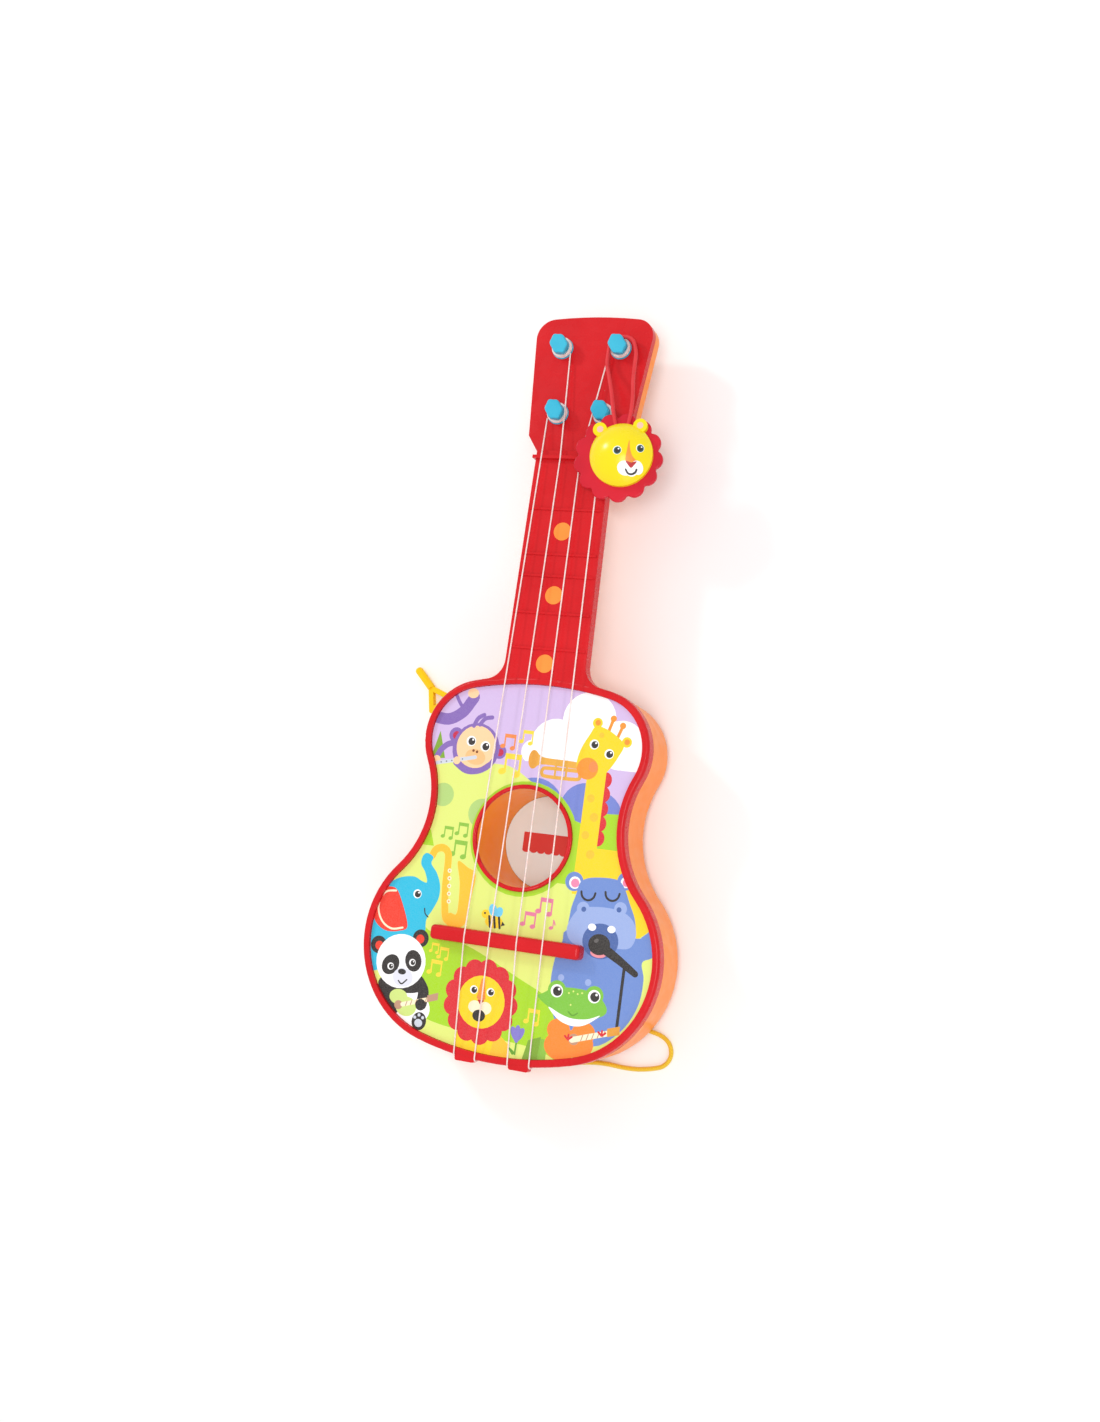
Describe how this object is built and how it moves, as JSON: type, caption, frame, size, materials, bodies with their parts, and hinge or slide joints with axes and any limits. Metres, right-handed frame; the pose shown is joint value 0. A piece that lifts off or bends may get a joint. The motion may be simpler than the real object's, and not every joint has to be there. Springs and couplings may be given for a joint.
{
  "type": "toy guitar",
  "caption": "Small four-string toy guitar with tuning pegs, a picture label, a lion charm on a loop and a carrying cord.",
  "frame": {"origin": "middle of the length and width of the guitar, on the plane of its back", "axes": "+Y up the neck to the headstock, +Z out of the face, +X to the right of the face with the headstock up"},
  "size_m": [0.1873, 0.422, 0.0644],
  "materials": {
    "red_shell": "glossy moulded polypropylene",
    "orange_shell": "glossy moulded polypropylene",
    "steel_screw": "zinc-plated steel",
    "printed_label": "printed self-adhesive film",
    "white_disc": "glossy moulded plastic",
    "red_banner": "printed self-adhesive film",
    "mane_red": "soft moulded vinyl",
    "charm_yellow": "glossy moulded plastic",
    "loop_red": "silicone cord",
    "yellow_cord": "braided polyester cord",
    "toggle_yellow": "soft moulded plastic",
    "nylon_string": "translucent nylon line",
    "peg_blue": "glossy moulded plastic"
  },
  "bodies": {
    "guitar": {"back_shell": "orange_shell", "body_screws": "steel_screw", "bridge": "red_shell", "bridge_screws": "steel_screw", "disc_banner": "red_banner", "face_label": "printed_label", "fret_dots": "orange_shell", "front_shell": "red_shell", "neck_screws": "steel_screw", "sound_disc": "white_disc", "sound_hole_ring": "red_shell", "sound_tube": "orange_shell", "strap_cord_in": "yellow_cord", "strap_cord_out": "yellow_cord", "strap_hank": "yellow_cord", "strap_toggle": "toggle_yellow", "string_1_2": "nylon_string", "string_3_4": "nylon_string"},
    "tuning_peg_1": {"peg_1": "peg_blue", "peg_1_washer": "steel_screw", "peg_1_screw": "steel_screw", "string_winding_1": "nylon_string"},
    "tuning_peg_2": {"peg_2": "peg_blue", "peg_2_washer": "steel_screw", "peg_2_screw": "steel_screw", "string_winding_2": "nylon_string"},
    "tuning_peg_3": {"peg_3": "peg_blue", "peg_3_washer": "steel_screw", "peg_3_screw": "steel_screw", "string_winding_3": "nylon_string"},
    "tuning_peg_4": {"peg_4": "peg_blue", "peg_4_washer": "steel_screw", "peg_4_screw": "steel_screw", "string_winding_4": "nylon_string"},
    "charm": {"charm_back": "red_shell", "charm_head": "charm_yellow", "charm_loop": "loop_red", "charm_mane": "mane_red", "charm_screw": "steel_screw"}
  },
  "joints": [
    {"name": "tuning_lower_left", "type": "hinge", "parent": "guitar", "child": "tuning_peg_1", "pos_m": [-0.0138, 0.15233, 0.04115], "axis": [0, 0.0785, 0.9969], "continuous": true},
    {"name": "tuning_upper_left", "type": "hinge", "parent": "guitar", "child": "tuning_peg_2", "pos_m": [-0.0176, 0.19161, 0.03806], "axis": [0, 0.0785, 0.9969], "continuous": true},
    {"name": "tuning_upper_right", "type": "hinge", "parent": "guitar", "child": "tuning_peg_3", "pos_m": [0.0176, 0.19161, 0.03806], "axis": [0, 0.0785, 0.9969], "continuous": true},
    {"name": "tuning_lower_right", "type": "hinge", "parent": "guitar", "child": "tuning_peg_4", "pos_m": [0.0138, 0.15233, 0.04115], "axis": [0, 0.0785, 0.9969], "continuous": true},
    {"name": "charm_swing", "type": "hinge", "parent": "guitar", "child": "charm", "pos_m": [0.0176, 0.19198, 0.04274], "axis": [0, 0.0785, 0.9969], "range_deg": [0, 55]}
  ]
}
